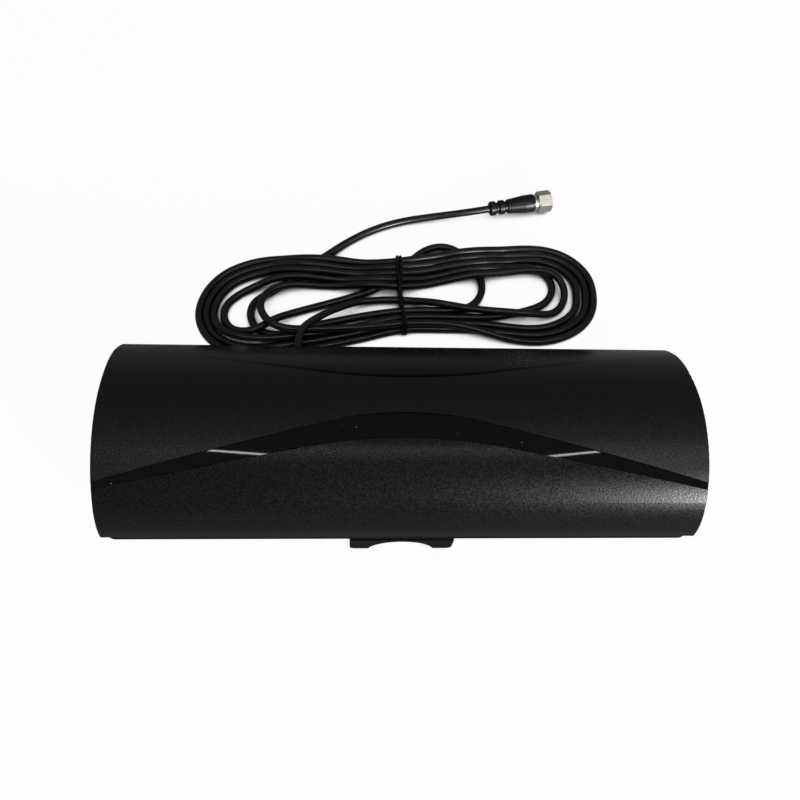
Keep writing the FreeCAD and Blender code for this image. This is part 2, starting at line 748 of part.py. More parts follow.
# Route of the plug's end of the cable along the table
PLUG_LEAD_PLACES = (
    (-50, 113, 3.6), (-41, 121, 2.5), (-28.5, 131, 2.1), (-14, 139.6, 2.1), (3.7, 145.6, 2.1),
    (24, 148.6, 2.7),
)


def cord_path(points):
    """Wire along the route, its length and the radii of its arcs."""
    edges = []
    radii = []
    start = points[0]
    for before, corner, after in zip(points, points[1:], points[2:]):
        into = (corner - before).normalize()
        out = (after - corner).normalize()
        half_turn = into.getAngle(out) / 2
        trim = ARC_SHARE * min((corner - before).Length, (after - corner).Length)
        radius = trim / math.tan(half_turn)
        first = corner - into * trim
        last = corner + out * trim
        centre = corner + (out - into).normalize() * (radius / math.cos(half_turn))
        middle = centre + (corner - centre).normalize() * radius
        edges.append(Part.LineSegment(start, first).toShape())
        edges.append(Part.Arc(first, middle, last).toShape())
        radii.append(radius)
        start = last
    edges.append(Part.LineSegment(start, points[-1]).toShape())
    return Part.Wire(edges), radii


def cord_tube(label, points):
    radius = number("cable_diameter / 2")
    path, radii = cord_path(points)
    ring = Part.Wire(Part.makeCircle(radius, points[0], points[1] - points[0]))
    tube = path.makePipeShell([ring], True, False)
    share = tube.Volume / (math.pi * radius ** 2 * path.Length)
    rounded = [round(bend, 1) for bend in radii]
    print(f"{label}: length {path.Length:.1f} mm, radii {rounded}, volume share {share:.4f}")
    item = doc.addObject("Part::Feature", label)
    item.Shape = tube
    return item


def wall_at_grommet():
    return Vector(number("gland_x"), number(REAR_HIGH), number("gland_height"))


def make_tail():
    """Cable inside the housing, from the wall at the grommet to its stripped end on the board."""
    wall = wall_at_grommet()
    level = number(CABLE_ON_BOARD)
    lead_in = Vector(0, number("board_high"), level)
    end = Vector(0, number("clamp_position - clamp_width / 2 - conductor_length"), level)
    route = [wall] + [wall + Vector(*step) for step in TAIL_STEPS] + [lead_in, end]
    jacket = cord_tube("coax_jacket", route)
    core = doc.addObject("Part::Cylinder", "coax_core")
    core.setExpression("Radius", bind("conductor_diameter / 2"))
    core.setExpression("Height", bind("2 * conductor_length"))
    core.Placement = Placement(end + Vector(0, number("conductor_length"), 0), Rotation(Vector(1, 0, 0), 90))
    return deliver(join("coax_tail", "MultiFuse", [jacket, core]), "coax_tail")


def make_gland():
    body = new_body("cable_gland")
    bore = "(cable_diameter / 2 + cable_fit)"
    flange = "gland_flange_diameter / 2"
    neck = "gland_neck_diameter / 2"
    nose = "gland_nose_diameter / 2"
    lock_end = "-(rear_wall + gland_lock)"
    mouth = "(gland_flange + gland_nose)"
    revolve(body, "Revolution", [
        (lock_end, bore), (mouth, bore), (mouth, nose), ("gland_flange", flange), ("0", flange), ("0", neck),
        ("-rear_wall", neck), ("-rear_wall", flange), (lock_end, flange),
    ])
    body.Placement = Placement(Vector(), Rotation(Vector(0, 0, 1), 90))
    place(body, "gland_x", REAR_HIGH, "gland_height")
    return deliver(body, "cable_gland")


def make_lead():
    """Free cable from the wall, out of the grommet and over the lower run of the hank."""
    wall = wall_at_grommet()
    steps = [wall + Vector(*step) for step in LEAD_STEPS]
    route = [wall] + steps + [Vector(*place) for place in LEAD_PLACES]
    return deliver(cord_tube("coax_lead", route), "coax_lead")


# Hank: outer and inner edge of the bundled turns in plan, pinched where the tie holds them
HANK_OUTSIDE = {
    "left top": (-80.0, 117.5), "left tip": (-109.5, 88.0), "left low": (-80.0, 58.5),
    "tie low": (3.0, 68.0), "right low": (76.0, 62.5), "right tip": (115.5, 94.5),
    "right top": (76.0, 128.0), "tie top": (3.0, 117.5),
}
HANK_INSIDE = {
    "left top": (-74.0, 102.0), "left tip": (-90.0, 88.0), "left low": (-74.0, 76.0),
    "tie low": (3.0, 86.0), "right low": (76.0, 82.0), "right tip": (97.0, 95.0),
    "right top": (76.0, 107.0), "tie top": (3.0, 98.0),
}


def hank_outline(sketch, points):
    """Loop of the hank in plan; its end arcs run along Y at the loop's two tips."""
    names = list(points)
    arcs = {}
    for index, (name, following) in enumerate(zip(names, names[1:] + names[:1])):
        if "tip" in name + following:
            across = abs(points[name][0] - points[following][0])
            along = abs(points[name][1] - points[following][1])
            arcs[index] = (str((across ** 2 + along ** 2) / (2 * across)), "ccw")
    outline(sketch, [(str(x), str(y)) for x, y in points.values()], arcs)


def make_hank():
    body = new_body("coax_hank")
    plan = new_sketch(body, "XY_Plane", "hank_base")
    for points in (HANK_OUTSIDE, HANK_INSIDE):
        hank_outline(plan, points)
    feature(body, "Pad", plan, "hank_height")
    return deliver(body, "coax_hank")


def make_tie():
    body = new_body("hank_tie")
    inner_low = "hank_base - tie_gap"
    inner_high = "(hank_base + hank_height + tie_gap)"
    face = new_sketch(body, "YZ_Plane", "tie_position - tie_width / 2")
    rectangle(face, "tie_low - tie_thickness", "tie_high + tie_thickness",
              f"{inner_low} - tie_thickness", f"{inner_high} + tie_thickness")
    rectangle(face, "tie_low", "tie_high", inner_low, inner_high)
    feature(body, "Pad", face, "tie_width")
    return deliver(body, "hank_tie")


def make_plug_lead():
    """Free cable from the hank's upper run to the plug's boot."""
    plug = Vector(number("plug_x"), number("plug_y"), number("plug_height"))
    turn = math.radians(number("plug_turn"))
    straight = Vector(math.cos(turn), math.sin(turn), 0) * number("plug_straight")
    route = [Vector(*place) for place in PLUG_LEAD_PLACES] + [plug - straight, plug]
    return deliver(cord_tube("plug_lead", route), "plug_lead")


# Plug: moulded boot, barrel, insulator and pin, and a nut that turns on the barrel
def on_plug_axis(body):
    body.Placement = Placement(Vector(), Rotation(Vector(0, 0, 1), number("plug_turn")))
    body.setExpression("Placement.Rotation.Angle", bind("plug_turn"))
    place(body, "plug_x", "plug_y", "plug_height")
    return body


def make_boot():
    """Two rounded ribs on a neck, then a body that widens to a short straight end."""
    body = new_body("plug_boot")
    neck = "boot_neck_diameter / 2"
    rib = "boot_rib_diameter / 2"
    full = "boot_diameter / 2"
    corners = [("0", "0"), ("0", neck)]
    for step in (0, 1):
        foot = f"{step} * boot_rib_pitch"
        crown = f"{foot} + boot_rib_slope"
        corners += [(crown, rib), (f"{crown} + boot_rib_crown", rib),
                    (f"{crown} + boot_rib_crown + boot_rib_slope", neck), (f"{foot} + boot_rib_pitch", neck)]
    hole = "shank_diameter / 2 + screw_fit"
    waist = "2 * boot_rib_pitch + boot_rib_slope / 2"
    corners += [
        (waist, "boot_waist_diameter / 2"), (f"{waist} + boot_taper", full),
        ("boot_length - boot_edge", full), ("boot_length", f"{full} - boot_edge"),
        ("boot_length", hole), ("boot_length - shank_depth", hole), ("boot_length - shank_depth", "0"),
    ]
    revolve(body, "Revolution", corners)
    return deliver(on_plug_axis(body), "plug_boot")


def make_barrel():
    body = new_body("plug_barrel")
    bore = "dielectric_diameter / 2 + screw_fit"
    collar_end = "(boot_length + collar_length)"
    tip = f"({RETAINER_START} + retainer_length)"
    revolve(body, "Revolution", [
        ("boot_length - shank_depth", bore), ("boot_length - shank_depth", "shank_diameter / 2"),
        ("boot_length", "shank_diameter / 2"), ("boot_length", "collar_diameter / 2"),
        (collar_end, "collar_diameter / 2"), (collar_end, "neck_diameter / 2"),
        (RETAINER_START, "neck_diameter / 2"), (RETAINER_START, "retainer_diameter / 2"),
        (tip, "retainer_diameter / 2"), (tip, bore),
    ])
    return deliver(on_plug_axis(body), "plug_barrel")


def make_dielectric():
    body = new_body("plug_dielectric")
    bore = "pin_diameter / 2 + screw_fit"
    tip = f"({RETAINER_START} + retainer_length)"
    outer = "dielectric_diameter / 2"
    start = "boot_length - shank_depth"
    revolve(body, "Revolution", [(start, bore), (tip, bore), (tip, outer), (start, outer)])
    return deliver(on_plug_axis(body), "plug_dielectric")


def make_pin():
    body = new_body("plug_pin")
    start = "boot_length - shank_depth"
    tip = f"{NUT_START} + nut_length - pin_setback"
    radius = "pin_diameter / 2"
    revolve(body, "Revolution", [(start, "0"), (start, radius), (tip, radius), (tip, "0")])
    return deliver(on_plug_axis(body), "plug_pin")


def make_nut():
    body = new_body("plug_nut")
    corner = "(nut_flats / sqrt(3))"
    hexagon = new_sketch(body, "YZ_Plane", NUT_START)
    outline(hexagon, [
        ("0", corner), ("-nut_flats / 2", f"{corner} / 2"), ("-nut_flats / 2", f"-{corner} / 2"),
        ("0", f"-{corner}"), ("nut_flats / 2", f"-{corner} / 2"), ("nut_flats / 2", f"{corner} / 2"),
    ])
    circle(hexagon, "0", "0", "neck_diameter + 2 * nut_clearance")
    feature(body, "Pad", hexagon, "nut_length")
    mouth = new_sketch(body, "YZ_Plane", f"{NUT_START} + nut_length")
    circle(mouth, "0", "0", "nut_bore")
    feature(body, "Pocket", mouth, "nut_length - nut_lip")
    out = f"({corner} + overrun)"
    flat = f"({corner} - nut_chamfer)"
    for end, inward in ((NUT_START, "+"), (f"({NUT_START} + nut_length)", "-")):
        slope = f"{end} {inward} (overrun + nut_chamfer) / sqrt(3)"
        revolve(body, "Groove", [(end, flat), (slope, out), (end, out)])
    return deliver(on_plug_axis(body), "plug_nut")


make_front_shell()
make_face_piece("face_panel", "(-panel_proud)", "end_round",
                (("seam", "(-face_gap)", True, True), ("divide", "(face_gap / 2)", False, False)), PANEL_PEGS)
make_face_piece("accent_strip", "strip_drop", "strip_round",
                (("divide", "(-face_gap / 2)", False, True), ("sweep", "face_gap", False, False)), STRIP_PEGS)
make_rear_cover()
make_saddle()
screws("case_screws", CASE_SCREWS, WELL_TOP, "case_screw_length", "screw_diameter",
       "screw_head_diameter", "screw_head_height", True)
screws("saddle_screws", SADDLE_SCREWS, FLOOR, "saddle_screw_length", "screw_diameter",
       "screw_head_diameter", "screw_head_height", False)
make_element("left_element", "-")
make_element("right_element", "")
screws("element_screws", ELEMENT_POSTS + FEED_POSTS, f"({BOARD_TOP} + element_thickness)",
       "element_screw_length", "element_screw_diameter", "element_head_diameter", "element_head_height", False)
make_board()
make_core()
make_winding()
make_cable_clamp()
make_tail()
make_gland()
make_lead()
make_hank()
make_tie()
make_plug_lead()
make_boot()
make_barrel()
make_dielectric()
make_pin()
make_nut()
doc.recompute()

failed = [item.Name for item in doc.Objects if {"Invalid", "Error"} & set(item.State)]
if failed:
    raise RuntimeError(f"objects that failed: {failed}")
for node in nodes:
    if node.Shape.isNull() or not node.Shape.isValid():
        raise RuntimeError(f"{node.Label} has no valid shape")

os.makedirs("parts", exist_ok=True)
for node in nodes:
    node.Shape.exportStep(f"parts/{node.Label}.step")
    print(f"{node.Label}: {len(node.Shape.Solids)} solids, {node.Shape.Volume:.1f} cubic mm")
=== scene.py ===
# %% [markdown]
# # A television antenna with its cable
# The antenna is a low black plastic housing that lies on its back. Behind it lies its own thin coaxial
# cable, wound into a flat hank, tied once and ending in a screw-on plug. The solid pieces come from the
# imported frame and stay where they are. Blender adds the flexible cable, the tie and the finishes.

import bpy
import numpy as np
from mathutils import Matrix, Vector


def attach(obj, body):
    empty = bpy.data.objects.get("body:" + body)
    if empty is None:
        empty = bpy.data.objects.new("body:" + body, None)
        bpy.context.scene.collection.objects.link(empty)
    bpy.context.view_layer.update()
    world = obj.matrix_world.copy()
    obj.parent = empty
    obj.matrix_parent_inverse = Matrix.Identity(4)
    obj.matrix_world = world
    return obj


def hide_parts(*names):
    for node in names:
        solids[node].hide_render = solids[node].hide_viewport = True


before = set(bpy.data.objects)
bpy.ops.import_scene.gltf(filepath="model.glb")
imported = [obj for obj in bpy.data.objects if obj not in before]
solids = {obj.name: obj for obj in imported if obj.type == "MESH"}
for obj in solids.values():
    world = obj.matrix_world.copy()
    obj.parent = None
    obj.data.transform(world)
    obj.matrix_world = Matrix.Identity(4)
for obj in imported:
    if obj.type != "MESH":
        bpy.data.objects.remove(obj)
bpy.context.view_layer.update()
MM = 0.001

# %% [markdown]
# ## Camera
# The view looks down steeply from the side of the housing's lower edge. A camera can be aimed with a
# tracking constraint, but here its three axes are known, so they become the columns of its matrix.
# Blender's camera looks along its own minus Z, which is why the third column is the view turned round.

# %% Camera
VIEW_PLACE = Vector((-31.57, -161.88, 444.49)) * MM
VIEW_RIGHT = Vector((0.99764537, -0.02020403, 0.06554021))
VIEW_UP = Vector((-0.00758383, 0.91726519, 0.39820479))
SENSOR_WIDTH = 36.0
FOCAL_LENGTH = 40.5
lens = bpy.data.cameras.new("studio_camera")
lens.sensor_width = SENSOR_WIDTH
lens.lens = FOCAL_LENGTH
lens.clip_start = 0.01
camera = bpy.data.objects.new("studio_camera", lens)
turn = Matrix((VIEW_RIGHT, VIEW_UP, VIEW_RIGHT.cross(VIEW_UP))).transposed()
camera.matrix_world = Matrix.Translation(VIEW_PLACE) @ turn.to_4x4()
bpy.context.scene.collection.objects.link(camera)
bpy.context.scene.camera = camera
print("camera height in mm:", round(camera.location.z / MM))

# %% [markdown]
# ## Route of the cable
# The cable is one soft line of nearly three metres. It leaves the grommet, drops onto the hank, goes
# round five times and ends in the plug. Every point below is a control point of one NURBS line, which
# runs smoothly between them. The hank's points are flat, seen from above, because its heights follow
# from how the turns lie on each other. The first part starts in the grommet, crosses over the lower run,
# goes round the right end on top of the others and folds back at the left. All places are in millimetres,
# and a strand that lies on the table has its middle a little more than half its thickness up.

# %% Cable: from the grommet through its first turn
ON_TABLE = 2.1
LEAD = [
    (-53, 49.437, 21), (-53, 56.937, 21), (-51.2, 64.2, 18.8), (-47.2, 70.4, 14.8), (-42.2, 75.8, 11),
    (-36.6, 80.4, 8.4), (-30.4, 84.6, 6.3), (-22.8, 88.8, 4.6),
]
FIRST_TURN = [
    (-13, 91.2), (-2, 92.1), (9, 91.6), (20, 89.4), (31, 86.8), (42, 84.9), (54, 83.8), (66, 82.8),
    (77, 82.7), (87.1, 83.5), (93.3, 87.1), (96.9, 93.3), (96.9, 100.5), (93.3, 106.7), (87.1, 110.3),
    (76, 111.6), (62, 109.6), (49.5, 107.8), (38, 106.2), (26, 104.3), (14, 101.5), (3, 99.4), (-8, 99.3),
    (-19, 99.7), (-31, 100.2), (-42.5, 100.4), (-53.5, 100), (-61, 98.6), (-67.8, 96.2), (-73.1, 91),
    (-75.1, 84), (-73.1, 76.8), (-67.8, 71.4), (-60.5, 69.4), (-52, 69.8), (-42, 70.8), (-31, 71.4),
    (-20, 72), (-8, 73.4),
]
print("points in the lead and the first turn:", len(LEAD) + len(FIRST_TURN))

# %% [markdown]
# ## The three full turns
# Three turns lie side by side, so one outline serves them all. Each turn runs inside that outline by its
# own distance. The distances differ from place to place, so the turns fan out at both ends.

# %% Cable: the full turns
OUTLINE = np.array([
    (3, 73.0), (12, 73.7), (22, 73.6), (32, 73), (42, 71.4), (52, 69.3), (63, 67.2), (75, 66.1), (87, 67),
    (98, 71), (107.5, 77.7), (113, 87.1), (114.4, 97.5), (113, 108.6), (106.5, 118), (97.1, 124.5),
    (85.5, 127.6), (73.5, 127.5), (62, 126.4), (50, 124.2), (38, 122.2), (26, 120.2), (14, 117.4),
    (3, 115.2), (-8, 115.2), (-19, 115.8), (-30, 116.2), (-41, 116.2), (-52, 116.6), (-63, 117.2),
    (-74.3, 116.5), (-85.3, 113.3), (-95.9, 107.6), (-103.9, 98.8), (-108.1, 89), (-109, 80.3),
    (-106.9, 72.4), (-102.3, 65.8), (-95.2, 60.5), (-86.2, 57.5), (-76, 56.9), (-64, 58), (-52, 60.1),
    (-40, 62.4), (-28, 64.9), (-16, 68), (-6, 71),
], float)
ANCHORS = np.array([0, 2, 6, 12, 17, 23, 28, 35, 41, 44, 47])
TURN_INSETS = np.array([
    (2.0, 1.9, 0, 0, 0, 0, 0, 0, 0, 0, 0),
    (0, 0, 4.2, 4.6, 4.1, 4.0, 4.0, 4.0, 4.0, 4.0, 3.95),
    (3.95, 4.0, 8.4, 10.0, 8.2, 8.0, 8.0, 8.1, 8.0, 8.0, 7.9),
])


def full_turns():
    """Flat control points of the turns, in mm: the outline moved inwards by a distance that goes from one
    anchor to the next by the smooth step 3t2 - 2t3."""
    station = np.arange(len(OUTLINE))
    ahead = np.roll(OUTLINE, -1, 0) - np.roll(OUTLINE, 1, 0)
    inward = np.column_stack([-ahead[:, 1], ahead[:, 0]]) / np.linalg.norm(ahead, axis=1)[:, None]
    span = np.searchsorted(ANCHORS, station, side="right") - 1
    step = (station - ANCHORS[span]) / (ANCHORS[span + 1] - ANCHORS[span])
    step = step * step * (3 - 2 * step)
    inset = TURN_INSETS[:, span] + (TURN_INSETS[:, span + 1] - TURN_INSETS[:, span]) * step
    return (OUTLINE + inward * inset[:, :, None]).reshape(-1, 2)


TURNS = full_turns()
print("points in the full turns:", len(TURNS))

# %% [markdown]
# ## The last turn, the bow and the way to the plug
# The last turn has a small right end. At the left it comes back as a diagonal strand, slips under the
# upper run, makes a bow behind it, crosses the open middle and runs back along the lower run. There it
# folds up once more and leaves under the upper run for the plug.

# %% Cable: from the last turn to the plug
LAST_TURN = [
    (3, 80.9), (14, 81.6), (25, 81.6), (36, 81.5), (46, 81.6), (55, 81.9), (63, 83.2), (70.5, 85.2),
    (76.4, 87), (81.6, 89), (87, 92.6), (90.3, 98.5), (90.3, 105.3), (86.8, 111.2), (80.6, 114.6),
    (72, 115), (62, 113.6), (50, 111.8), (38, 110.2), (26, 108.2), (14, 105.5), (3, 103.3), (-8, 103.2),
    (-19, 103.7), (-31, 104.2), (-44, 104.7), (-56, 104.6), (-68, 103.2), (-78.5, 99.2), (-87, 94.4),
    (-93.4, 88.4), (-95.4, 81.9), (-93.8, 75.4), (-88.9, 70.4), (-82, 68.8), (-75.2, 70.8), (-67, 77.4),
]
BOW = [
    (-57, 82.8), (-46, 86.3), (-35, 89.8), (-24, 93.4), (-13.5, 97.6), (-4, 103.4), (3.4, 110.8),
    (10, 118.6), (17.8, 125.6), (27, 128.4), (35.4, 126.2), (41.4, 120.4), (46.6, 113), (49.7, 105.8),
    (49.9, 98.4), (46.6, 91.8), (40.4, 87.2), (31.4, 85.6), (21.5, 85.6), (12, 85.5), (3, 84.9), (-8, 83.4),
    (-20, 81), (-33, 78), (-46, 75), (-54, 72.4), (-61, 69.6), (-67.6, 68.8), (-74, 70.6), (-79, 75.4),
    (-81, 81.8), (-79.5, 88), (-75.2, 92.4), (-69.4, 95.8), (-63.4, 100.2), (-57.4, 105.2),
]
PLUG_LEAD = [
    (-49.4, 112.4, ON_TABLE), (-40, 119.8, ON_TABLE), (-27.6, 129.6, ON_TABLE), (-13, 138.6, ON_TABLE),
    (3.7, 144.9, ON_TABLE), (24, 148.2, 2.7), (41.561, 149.215, 6.5), (56.3, 152.0, 6.5),
]
HANK = np.vstack([FIRST_TURN, TURNS, LAST_TURN, BOW])
print("points of the hank:", len(HANK))

# %% [markdown]
# ## How the turns lie on each other
# The heights could be typed in for every crossing, but they follow from a simple rule. The cable was
# wound up from its plug, so each stretch lies on the stretches nearer to the plug. Two round strands
# that touch are one thickness apart, and a strand that goes over another does so in a long low hump.

# %% Cable: heights
def bends(first, corner, second, steps):
    """Points on a quadratic bend round each corner: at share s it is (1 - s)2 of the first point,
    2s(1 - s) of the corner and s2 of the second."""
    share = np.linspace(0, 1, steps, endpoint=False)[None, :, None]
    points = ((1 - share) ** 2 * first[:, None] + 2 * share * (1 - share) * corner[:, None]
              + share ** 2 * second[:, None])
    return points.reshape(-1, 3)


def settle(points, thickness=3.9, slack=1.08, rise=45.0, steps=4, rounds=16, reach=24):
    """The control points with their heights, in mm. Where two stretches are closer in plan than one
    thickness, the one nearer to the grommet is higher by slack times the root of thickness2 - distance2.
    From each such place a parabola falls by distance2 / (2 rise) along the cable, and the highest counts.
    Places less than four thicknesses apart along the cable belong to one stretch."""
    middles = (points[:-1] + points[1:]) / 2
    middles[[0, -1]] = points[[0, -1]]
    line = bends(middles[:-1], points[1:-1], middles[1:], steps)
    along = np.append(0, np.cumsum(np.linalg.norm(np.diff(line[:, :2], axis=0), axis=1)))
    apart = np.linalg.norm(line[:, None, :2] - line[None, :, :2], axis=2)
    over, under = np.nonzero((apart < thickness) & (along[None, :] - along[:, None] > 4 * thickness))
    gap = slack * np.sqrt(thickness ** 2 - apart[over, under] ** 2)
    height = line[:, 2].copy()
    for _ in range(rounds):
        carried = np.full(len(line), line[:, 2].min())
        np.maximum.at(carried, over, height[under] + gap)
        height = np.maximum(carried, line[:, 2])
        for shift in range(1, reach):
            fall = (along[shift:] - along[:-shift]) ** 2 / (2 * rise)
            height[shift:] = np.maximum(height[shift:], carried[:-shift] - fall)
            height[:-shift] = np.maximum(height[:-shift], carried[shift:] - fall)
    settled = points.copy()
    settled[1:-1, 2] = height.reshape(-1, steps)[:, steps // 2]
    return settled


FLAT_HANK = np.column_stack([HANK, np.full(len(HANK), ON_TABLE)])
ROUTE = settle(np.vstack([LEAD, FLAT_HANK, PLUG_LEAD])) * MM
highest = ROUTE[len(LEAD):, 2].max() / MM
print("control points of the cable:", len(ROUTE), "highest in the hank in mm:", round(highest, 1))

# %% [markdown]
# ## The cable
# A cable could be a swept mesh, but a curve with a round bevel keeps its line and its thickness apart.
# The order of 3 makes the line bend smoothly past each point, and the end point setting makes it start
# in the grommet and end in the plug. Both are set once the points exist, or Blender drops them.
# The thickness is the bevel's depth times each point's radius. Blender adds that radius to the curve's
# box, so the points carry the cable's half thickness and the bevel is 1. The bevel's flat sides lie inside
# the round, so the half thickness is a little more than half of the cable.

# %% Cable curve
CABLE = 4.0 * MM
HALF_THICKNESS = 0.525 * CABLE
curve = bpy.data.curves.new("coax_cable", "CURVE")
curve.dimensions = "3D"
line = curve.splines.new("NURBS")
line.points.add(len(ROUTE) - 1)
line.points.foreach_set("co", np.column_stack([ROUTE, np.ones(len(ROUTE))]).ravel())
line.order_u = 3
line.use_endpoint_u = True
line.resolution_u = 5
line.points.foreach_set("radius", np.full(len(ROUTE), HALF_THICKNESS))
curve.bevel_depth = 1.0
curve.bevel_resolution = 4
curve.use_fill_caps = True
cable = bpy.data.objects.new("coax_cable", curve)
bpy.context.scene.collection.objects.link(cable)
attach(cable, "antenna")
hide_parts("coax_lead", "coax_hank", "plug_lead")
print("cable curve with", len(line.points), "points")

# %% [markdown]
# ## The tie
# A thin plastic-covered wire holds the hank in the middle. It goes over both runs, dips into the gap
# between them and returns underneath, twice round, so that its two passes cross in the gap. It is a
# small round profile carried along a closed path. A curve object would also do, but a grid of points
# shows how a tube is built: one ring of points for each step along the path.

# %% Tie
TIE_RADIUS = 0.9
TIE_PATH = np.array([
    (3.4, 70.3, 2.0), (3.4, 70.3, 3.4), (3.5, 71.0, 6.0), (3.6, 73.2, 8.2), (3.7, 75.4, 9.2),
    (3.7, 78.2, 7.4), (3.7, 81.2, 5.4), (3.6, 85.0, 5.0), (3.4, 88.6, 4.2), (3.2, 92.0, 5.1),
    (2.8, 95.6, 5.0), (2.3, 98.2, 7.2), (1.8, 101.2, 8.4), (1.4, 105.2, 9.0), (1.2, 109.4, 9.4),
    (1.1, 113.4, 9.4), (1.1, 116.0, 8.8), (1.2, 117.8, 6.7), (1.4, 117.6, 4.0), (1.8, 115.0, 1.6),
    (2.2, 110.5, 0.9), (2.6, 101.0, 0.9), (3.2, 92.0, 0.9), (3.8, 82.0, 0.9), (4.6, 73.4, 0.9),
    (5.2, 70.4, 1.8), (5.3, 70.3, 3.4), (5.3, 71.0, 6.0), (5.2, 73.2, 8.2), (5.0, 75.4, 9.2),
    (4.7, 78.2, 7.4), (4.3, 81.2, 5.6), (3.8, 85.0, 5.9), (3.1, 88.6, 5.6), (2.4, 92.0, 6.5),
    (2.2, 95.6, 6.4), (2.5, 98.2, 7.6), (2.9, 101.2, 8.4), (3.1, 105.2, 9.0), (3.1, 109.4, 9.4),
    (3.0, 113.4, 9.4), (2.9, 116.0, 8.8), (2.9, 117.8, 6.7), (3.0, 117.6, 4.0), (3.0, 115.0, 1.6),
    (2.9, 110.5, 0.9), (2.8, 101.0, 0.9), (2.8, 92.0, 0.9), (3.0, 82.0, 0.9), (3.2, 73.4, 0.9),
], float)


def closed_line(points, steps):
    """A closed quadratic B-spline: one bend round each corner of the polygon, from the middle of one
    side to the middle of the next."""
    before = (np.roll(points, 1, 0) + points) / 2
    after = (np.roll(points, -1, 0) + points) / 2
    return bends(before, points, after, steps)


def closed_tube(name, path, radius, sides=10):
    """A ring tube: at each place of the closed path, a circle of the radius in the plane across it."""
    ahead = np.roll(path, -1, 0) - np.roll(path, 1, 0)
    ahead /= np.linalg.norm(ahead, axis=1)[:, None]
    side = np.cross(ahead, (1.0, 0.0, 0.0))
    side /= np.linalg.norm(side, axis=1)[:, None]
    over = np.cross(side, ahead)
    angle = np.linspace(0, 2 * np.pi, sides, endpoint=False)
    rings = path[:, None] + radius * (np.cos(angle)[None, :, None] * side[:, None]
                                      + np.sin(angle)[None, :, None] * over[:, None])
    ring, corner = np.meshgrid(np.arange(len(path)), np.arange(sides), indexing="ij")
    next_ring, next_corner = (ring + 1) % len(path), (corner + 1) % sides
    faces = np.stack([ring * sides + corner, ring * sides + next_corner,
                      next_ring * sides + next_corner, next_ring * sides + corner], -1).reshape(-1, 4)
    mesh = bpy.data.meshes.new(name)
    mesh.from_pydata(rings.reshape(-1, 3).tolist(), [], faces.tolist())
    mesh.polygons.foreach_set("use_smooth", np.ones(len(faces), bool))
    mesh.update()
    piece = bpy.data.objects.new(name, mesh)
    bpy.context.scene.collection.objects.link(piece)
    return piece


tie = closed_tube("twist_tie", closed_line(TIE_PATH, 5) * MM, TIE_RADIUS * MM)
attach(tie, "antenna")
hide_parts("hank_tie")
print("tie faces:", len(tie.data.polygons))

# %% [markdown]
# ## What the cable is
# The cable is round and 4 mm thick. It starts in the grommet and ends in the plug.

# %% [markdown]
# ## Node groups for finishes
# Several finishes share the same effects: the fine grain of a moulding tool, marks of handling and the
# streaks of rolled or drawn metal. Each effect is a node group, made once, with inputs for its size and
# outputs that vary over the surface. A material places the group with its own values. A few helpers come
# first, so that a group reads like the formula it stands for.

# %% Helpers for node trees
def put(tree, kind, **settings):
    """Adds a node. A setting that names an input gives that socket its value, any other sets a property."""
    node = tree.nodes.new(kind)
    for key, value in settings.items():
        if key in node.inputs:
            node.inputs[key].default_value = value
        else:
            setattr(node, key, value)
    return node


def start_group(name, inputs, outputs):
    """A new shader node group with float sockets, and its inner input and output nodes."""
    tree = bpy.data.node_groups.new(name, "ShaderNodeTree")
    for label, value in inputs.items():
        socket = tree.interface.new_socket(label, in_out="INPUT", socket_type="NodeSocketFloat")
        socket.default_value = value
    for label in outputs:
        tree.interface.new_socket(label, in_out="OUTPUT", socket_type="NodeSocketFloat")
    return tree, tree.nodes.new("NodeGroupInput"), tree.nodes.new("NodeGroupOutput")


def object_place(tree):
    """The place on the piece, in metres of the shared frame."""
    return put(tree, "ShaderNodeTexCoord").outputs["Object"]


def maths(tree, operation, *values):
    """The result of one sum, from sockets or plain numbers."""
    node = put(tree, "ShaderNodeMath", operation=operation)
    for socket, value in zip(node.inputs, values):
        if isinstance(value, bpy.types.NodeSocket):
            tree.links.new(value, socket)
        else:
            socket.default_value = value
    return node.outputs[0]


def mix_colours(tree, factor, first, second):
    """The colour between two plain ones. A Mix node takes colours in its seventh and eighth input and gives
    the result in its third output."""
    mix = put(tree, "ShaderNodeMix", data_type="RGBA")
    mix.inputs[6].default_value = (*first, 1)
    mix.inputs[7].default_value = (*second, 1)
    tree.links.new(factor, mix.inputs[0])
    return mix.outputs[2]


def mix_shaders(tree, factor, first, second):
    """One shader blended into another by the factor."""
    blend = put(tree, "ShaderNodeMixShader")
    for source, socket in zip((factor, first, second), blend.inputs):
        tree.links.new(source, socket)
    return blend.outputs[0]


# %% [markdown]
# The grain of a spark-eroded moulding tool is a field of tiny facets. Noise gives soft hills for the bump.
# Voronoi cells give facets, and the random value of each cell makes some of them smoother and some duller,
# so that single ones sparkle.

# %% Group: moulded grain
def moulded_grain():
    """Height: noise. Fleck: the random value of the Voronoi cell, both at the same scale."""
    tree, given, result = start_group("moulded_grain", {"Grain": 1500.0}, ("Height", "Fleck"))
    place = object_place(tree)
    soft = put(tree, "ShaderNodeTexNoise", Detail=2.0, Roughness=0.6)
    cells = put(tree, "ShaderNodeTexVoronoi")
    split = put(tree, "ShaderNodeSeparateColor")
    for texture in (soft, cells):
        tree.links.new(place, texture.inputs["Vector"])
        tree.links.new(given.outputs["Grain"], texture.inputs["Scale"])
    tree.links.new(soft.outputs[0], result.inputs["Height"])
    tree.links.new(cells.outputs["Color"], split.inputs[0])
    tree.links.new(split.outputs[0], result.inputs["Fleck"])
    return tree


GRAIN = moulded_grain()
print("group:", GRAIN.name)

